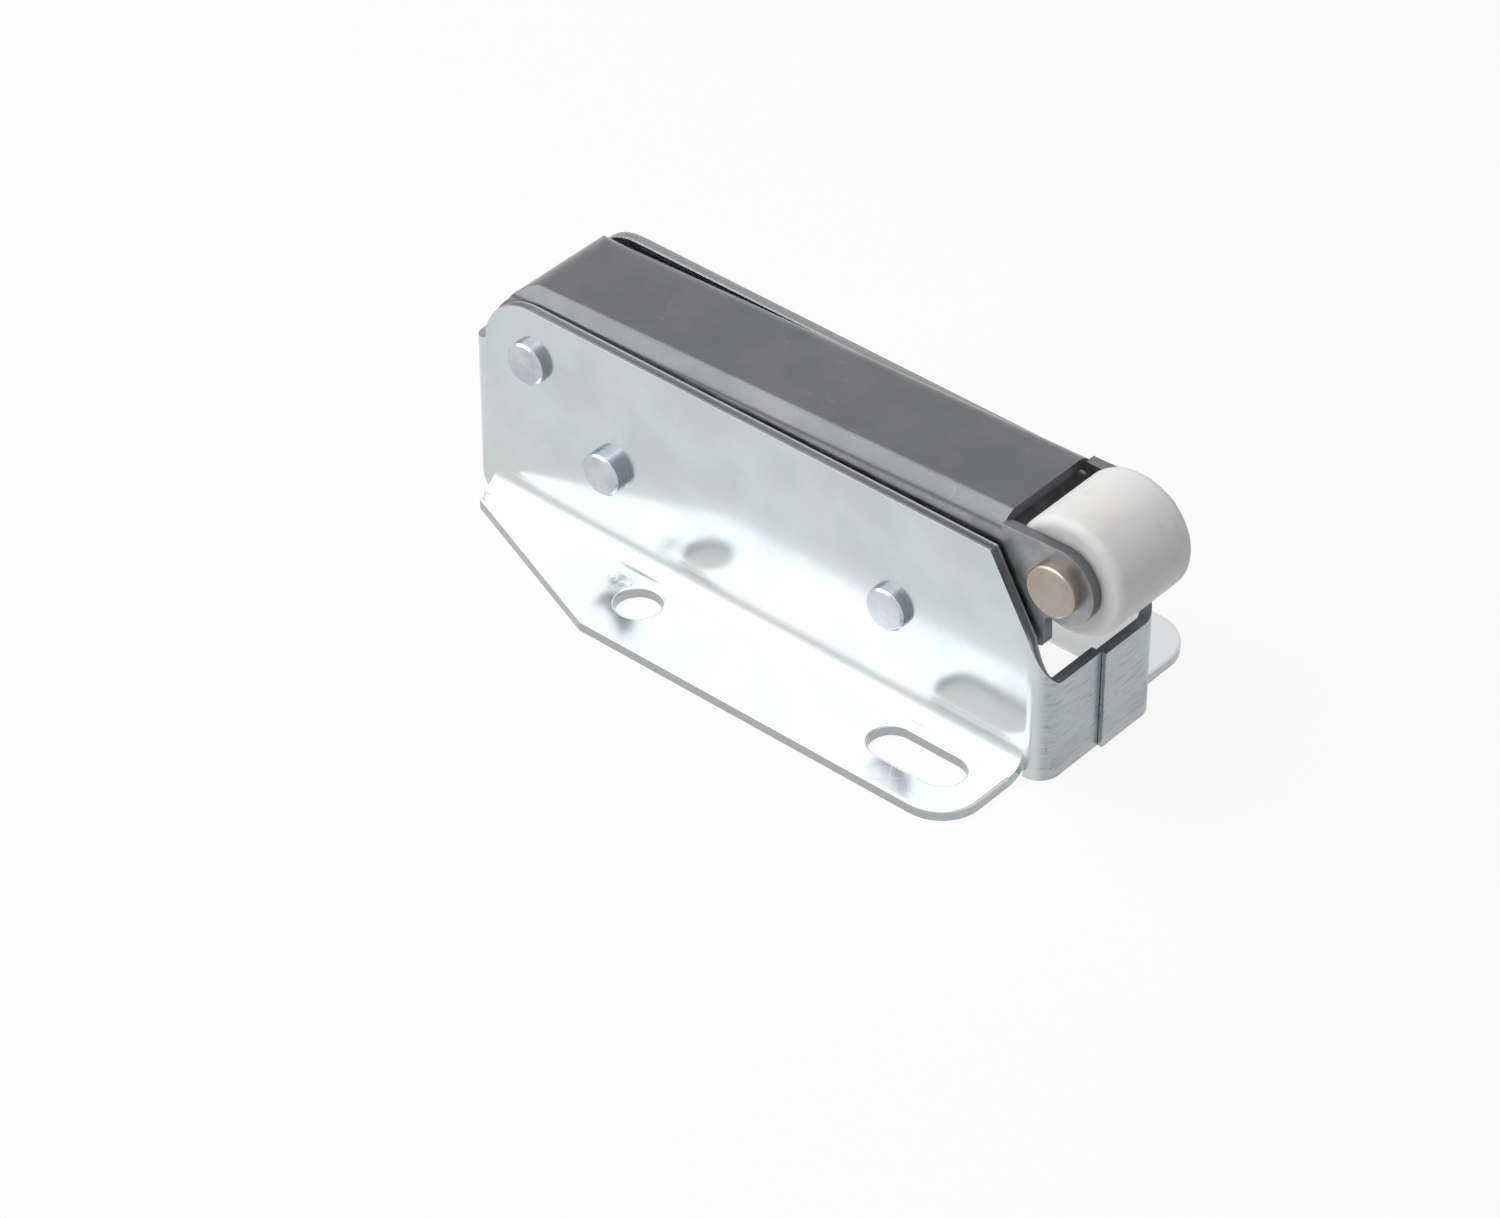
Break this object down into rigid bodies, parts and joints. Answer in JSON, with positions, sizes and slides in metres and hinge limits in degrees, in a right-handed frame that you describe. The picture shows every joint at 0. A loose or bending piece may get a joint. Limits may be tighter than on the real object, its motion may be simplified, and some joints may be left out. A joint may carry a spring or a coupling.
{
  "type": "touch latch",
  "caption": "Touch latch with a plastic roller on a swinging steel arm in a folded housing; an over-centre spring holds the arm down or flips it up as the door is pressed.",
  "frame": {"origin": "midway between the two round screw holes, on the mounting plane under the flanges", "axes": "+Z away from the mounting plane; +X along the latch, from the pivot end to the roller; +Y across it"},
  "size_m": [0.0683, 0.0327, 0.0253],
  "materials": {
    "housing_zinc": "bright zinc plate, faint drawing lines",
    "arm_zinc": "bright zinc plate, fine scratches",
    "pin_steel": "turned, zinc plated",
    "axle_steel": "turned, warm nickel tint",
    "roller_plastic": "moulded, off-white",
    "washer_steel": "stamped",
    "guide_steel": "turned, zinc plated",
    "spring_steel": "drawn wire"
  },
  "bodies": {
    "housing": {"housing": "housing_zinc", "pivot_pin": "pin_steel", "rest_pin": "pin_steel", "stop_pin": "pin_steel"},
    "arm": {"arm": "arm_zinc", "roller_axle": "axle_steel"},
    "roller": {"roller": "roller_plastic"},
    "guide": {"spring_guide": "guide_steel", "toggle_spring": "spring_steel"},
    "trunnion": {"trunnion": "guide_steel", "spring_washer": "washer_steel"}
  },
  "joints": [
    {"name": "arm_swing", "type": "hinge", "parent": "housing", "child": "arm", "pos_m": [-0.016, 0, 0.01605], "axis": [0, -1, 0], "range_deg": [0, 6]},
    {"name": "roller_spin", "type": "hinge", "parent": "arm", "child": "roller", "pos_m": [0.03964, 0, 0.01987], "axis": [0, 1, 0], "continuous": true},
    {"name": "guide_swing", "type": "hinge", "parent": "housing", "child": "guide", "pos_m": [0.0236, 0, 0.0103], "axis": [0, 1, 0], "range_deg": [0, 9.1]},
    {"name": "trunnion_turn", "type": "hinge", "parent": "arm", "child": "trunnion", "pos_m": [0.00754, 0, 0.01136], "axis": [0, 1, 0], "range_deg": [0, 15.1]}
  ],
  "couplings": [
    {"joint": "guide_swing", "follows": "arm_swing", "ratio": 1.4918},
    {"joint": "trunnion_turn", "follows": "arm_swing", "ratio": 2.4918}
  ]
}
